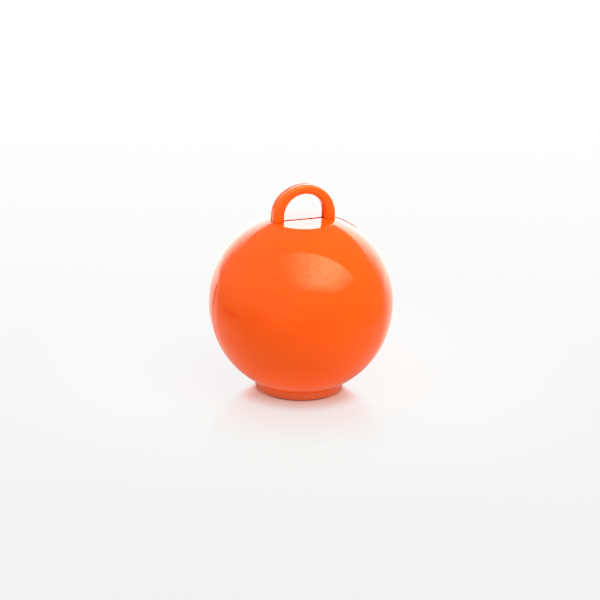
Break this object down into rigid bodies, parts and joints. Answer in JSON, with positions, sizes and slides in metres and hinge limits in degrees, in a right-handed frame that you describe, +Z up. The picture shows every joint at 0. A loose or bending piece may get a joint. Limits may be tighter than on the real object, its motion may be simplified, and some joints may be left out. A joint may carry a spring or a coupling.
{
  "type": "balloon weight",
  "caption": "Glossy moulded plastic ball with a ribbon loop on top and a ring foot, filled with sand through a stoppered base, to anchor balloons on a table.",
  "frame": {"origin": "centre of the foot ring, on the surface that it stands on", "axes": "+Z up through the ball and the loop, X along the loop's plane, in which the two halves meet, and the front half on the -Y side"},
  "size_m": [0.055, 0.055, 0.0629],
  "materials": {
    "shell_plastic": "glossy orange, as moulded",
    "stopper_plastic": "soft orange polyethylene",
    "sand": "loose dry sand"
  },
  "bodies": {
    "shell": {"front_shell": "shell_plastic", "rear_shell": "shell_plastic", "sand_fill": "sand"},
    "stopper": {"base_plug": "stopper_plastic"}
  },
  "joints": [
    {"name": "stopper_pull", "type": "slide", "parent": "shell", "child": "stopper", "axis": [0, 0, -1], "range_m": [0, 0.012]}
  ]
}
